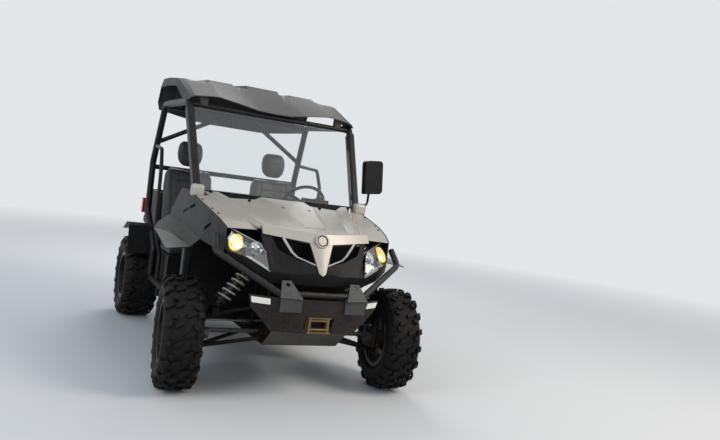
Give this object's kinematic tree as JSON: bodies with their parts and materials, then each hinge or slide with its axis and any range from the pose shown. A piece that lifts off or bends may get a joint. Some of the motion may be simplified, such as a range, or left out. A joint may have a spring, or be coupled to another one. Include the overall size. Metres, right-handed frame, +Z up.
{
  "type": "side-by-side off-road vehicle",
  "caption": "Open off-road vehicle with side-by-side seats, roll cage, roof, windshield, steered front wheels and a tilting cargo bed.",
  "frame": {"origin": "on the ground under the middle of the bounding box", "axes": "+Z up, -Y to the front, +X to the driver side (left), +Y along the length to the rear"},
  "size_m": [1.7099, 2.9286, 1.988],
  "materials": {
    "frame_paint": "satin black",
    "cage_paint": "satin black",
    "arm_paint": "satin black",
    "spring_paint": "satin",
    "drive_metal": "cast",
    "knuckle_metal": "cast",
    "tyre_rubber": "dusty",
    "rim_paint": "satin dark",
    "rack_steel": "brushed",
    "column_plastic": "matte",
    "grip_rubber": "soft",
    "dash_plastic": "matte",
    "tub_plastic": "matte",
    "seat_cover": "grained",
    "body_silver": "satin",
    "panel_grey": "matte",
    "flare_grey": "matte",
    "fascia_black": "matte",
    "grille_black": "matte",
    "radiator_core": "dark",
    "lamp_glass": "clear",
    "bumper_paint": "satin",
    "bracket_paint": "satin",
    "lower_plastic": "matte",
    "marker_lens": "ribbed",
    "winch_paint": "satin",
    "fairlead_metal": "worn",
    "roof_plastic": "matte",
    "screen": "clear",
    "bed_plastic": "matte",
    "tail_lens": "gloss",
    "exhaust_metal": "dull",
    "pan_metal": "scuffed"
  },
  "bodies": {
    "chassis": {"axle_drives": "drive_metal", "belly_pan": "pan_metal", "bumper_brackets": "bracket_paint", "cabin_tub": "tub_plastic", "cage_cross_tubes": "cage_paint", "cage_hoops": "cage_paint", "dashboard": "dash_plastic", "engine_block": "drive_metal", "fairlead": "fairlead_metal", "fender_flares": "flare_grey", "frame_rails": "frame_paint", "frame_members": "frame_paint", "frame_sills": "frame_paint", "nose_struts": "frame_paint", "front_arms": "arm_paint", "front_bumper": "bumper_paint", "front_fascia": "fascia_black", "front_fenders": "body_silver", "front_pillars": "cage_paint", "front_subframe": "frame_paint", "grille": "grille_black", "headlights": "lamp_glass", "headrests": "seat_cover", "hood": "body_silver", "lower_fascia": "lower_plastic", "marker_lamps": "marker_lens", "mirror": "fascia_black", "nose_bar": "body_silver", "radiator": "radiator_core", "rear_arms": "arm_paint", "rear_bumper": "bumper_paint", "rear_fenders": "fascia_black", "rear_subframe": "frame_paint", "roof_panel": "roof_plastic", "seat_backs": "seat_cover", "seat_cushions": "seat_cover", "shocks": "spring_paint", "side_bolsters": "cage_paint", "side_panels": "panel_grey", "silencer": "exhaust_metal", "steering_column": "column_plastic", "winch": "winch_paint", "windshield": "screen"},
    "knuckle_left": {"knuckle_front_left": "knuckle_metal"},
    "knuckle_right": {"knuckle_front_right": "knuckle_metal"},
    "wheel_front_left": {"tyre_front_left": "tyre_rubber", "rim_front_left": "rim_paint"},
    "wheel_front_right": {"tyre_front_right": "tyre_rubber", "rim_front_right": "rim_paint"},
    "wheel_rear_left": {"tyre_rear_left": "tyre_rubber", "rim_rear_left": "rim_paint"},
    "wheel_rear_right": {"tyre_rear_right": "tyre_rubber", "rim_rear_right": "rim_paint"},
    "steering": {"steering_wheel": "grip_rubber"},
    "rack": {"steering_rack": "rack_steel"},
    "bed": {"cargo_bed": "bed_plastic", "tail_lamps": "tail_lens"},
    "gate": {"tailgate": "bed_plastic"}
  },
  "joints": [
    {"name": "steer_right", "type": "hinge", "parent": "chassis", "child": "knuckle_right", "pos_m": [-0.6, -1.01, 0.33], "axis": [0, 0, 1], "range_deg": [-26, 38]},
    {"name": "steer_left", "type": "hinge", "parent": "chassis", "child": "knuckle_left", "pos_m": [0.6, -1.01, 0.33], "axis": [0, 0, 1], "range_deg": [-26, 38]},
    {"name": "spin_front_left", "type": "hinge", "parent": "knuckle_left", "child": "wheel_front_left", "pos_m": [0.69448, -1.01993, 0.33], "axis": [0.9945, -0.1045, 0], "continuous": true},
    {"name": "spin_front_right", "type": "hinge", "parent": "knuckle_right", "child": "wheel_front_right", "pos_m": [-0.69448, -1.00007, 0.33], "axis": [0.9945, -0.1045, 0], "continuous": true},
    {"name": "spin_rear_left", "type": "hinge", "parent": "chassis", "child": "wheel_rear_left", "pos_m": [0.62, 1.03, 0.33], "axis": [1, 0, 0], "continuous": true},
    {"name": "spin_rear_right", "type": "hinge", "parent": "chassis", "child": "wheel_rear_right", "pos_m": [-0.62, 1.03, 0.33], "axis": [1, 0, 0], "continuous": true},
    {"name": "steering_turn", "type": "hinge", "parent": "chassis", "child": "steering", "pos_m": [0.36, -0.05, 1.125], "axis": [0, 0.8253, 0.5648], "range_deg": [-208, 304]},
    {"name": "rack_slide", "type": "slide", "parent": "chassis", "child": "rack", "axis": [1, 0, 0], "range_m": [-0.0634, 0.0434]},
    {"name": "bed_tilt", "type": "hinge", "parent": "chassis", "child": "bed", "pos_m": [0, 1.35, 0.74], "axis": [-1, 0, 0], "range_deg": [0, 45]},
    {"name": "gate_drop", "type": "hinge", "parent": "bed", "child": "gate", "pos_m": [0, 1.437, 0.782], "axis": [-1, 0, 0], "range_deg": [0, 90]}
  ],
  "couplings": [
    {"joint": "steer_left", "follows": "steer_right", "ratio": 1},
    {"joint": "steering_turn", "follows": "steer_right", "ratio": 8},
    {"joint": "rack_slide", "follows": "steer_right", "m_per_rad": -0.095}
  ]
}
